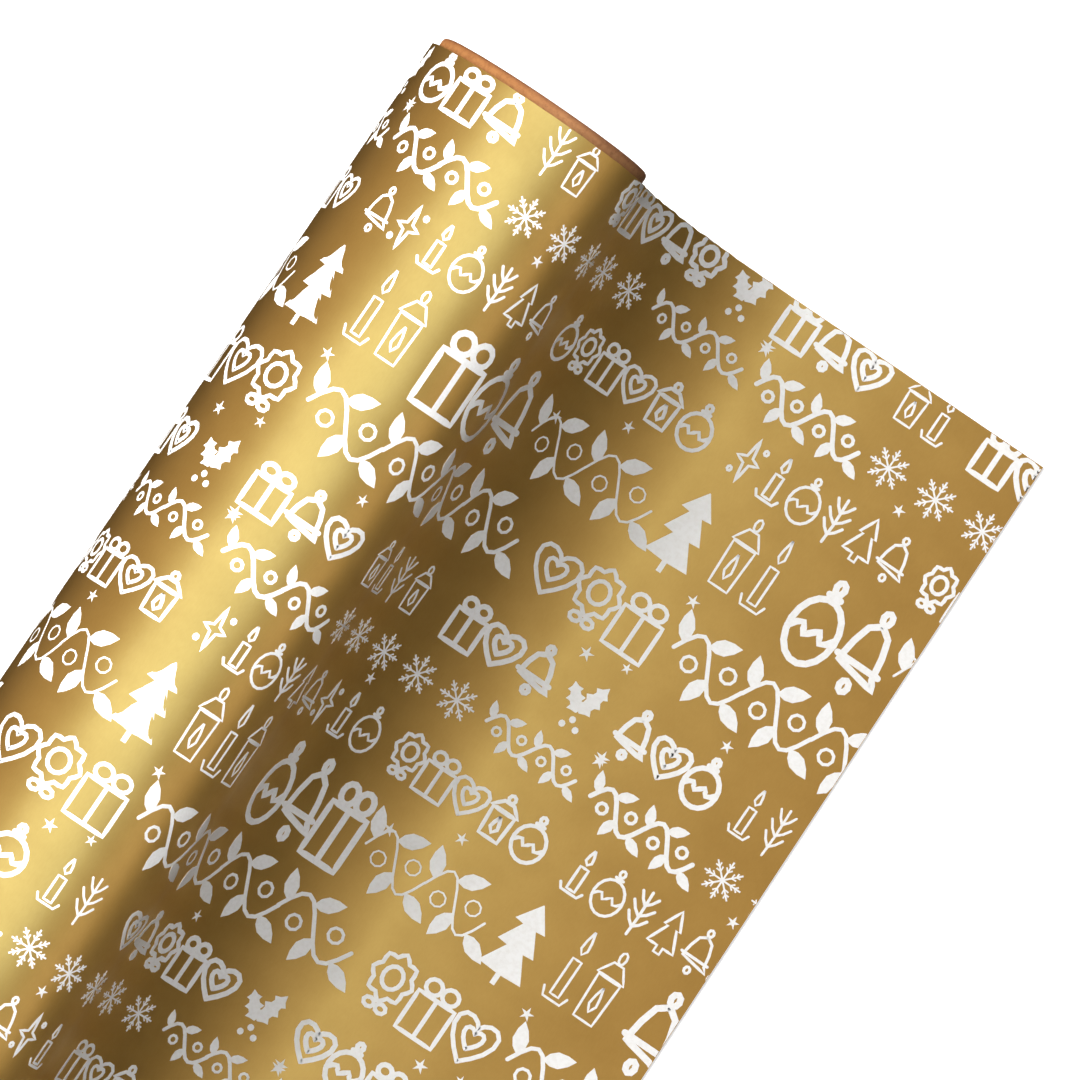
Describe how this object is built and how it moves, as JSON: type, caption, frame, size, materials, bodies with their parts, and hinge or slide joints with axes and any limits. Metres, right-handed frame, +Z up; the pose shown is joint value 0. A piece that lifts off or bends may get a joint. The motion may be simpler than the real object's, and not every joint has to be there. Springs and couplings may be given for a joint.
{
  "type": "wrapping paper roll",
  "caption": "Roll of metallic gold gift wrap with white festive line ornaments, wound on a spiral board core, its outer leaf drawn off to one side and lying flat.",
  "frame": {"origin": "middle of the core's bore, on the roll's axis, half way along the roll", "axes": "+Y along the roll's axis, +X the way the leaf is drawn off, +Z up from the surface that the roll and the leaf lie on"},
  "size_m": [0.1548, 0.7668, 0.05],
  "materials": {
    "kraft_board": "matte kraft board, burnished at the rim",
    "starter_tape": "translucent double-sided tape",
    "gold_paper": "metallic gold, satin gloss",
    "white_back": "uncoated matte white",
    "white_ink": "opaque white print, satin"
  },
  "bodies": {
    "leaf": {"outer_turn": "gold_paper", "leaf_shoulder": "gold_paper", "leaf_slope": "gold_paper", "leaf_foot": "gold_paper", "leaf_flat": "gold_paper"},
    "roll": {"core_inner_ply": "kraft_board", "core_middle_ply": "kraft_board", "core_outer_ply": "kraft_board", "starter_tape": "starter_tape", "wound_pack": "gold_paper"},
    "drawn": {"drawn_leaf": "gold_paper"}
  },
  "joints": [
    {"name": "roll_spin", "type": "hinge", "parent": "leaf", "child": "roll", "pos_m": [0, 0, 0], "axis": [0, 1, 0], "range_deg": [0, 195]},
    {"name": "leaf_pull", "type": "slide", "parent": "leaf", "child": "drawn", "axis": [1, 0, 0], "range_m": [0, 0.085]}
  ],
  "couplings": [
    {"joint": "leaf_pull", "follows": "roll_spin", "m_per_rad": 0.02495}
  ]
}
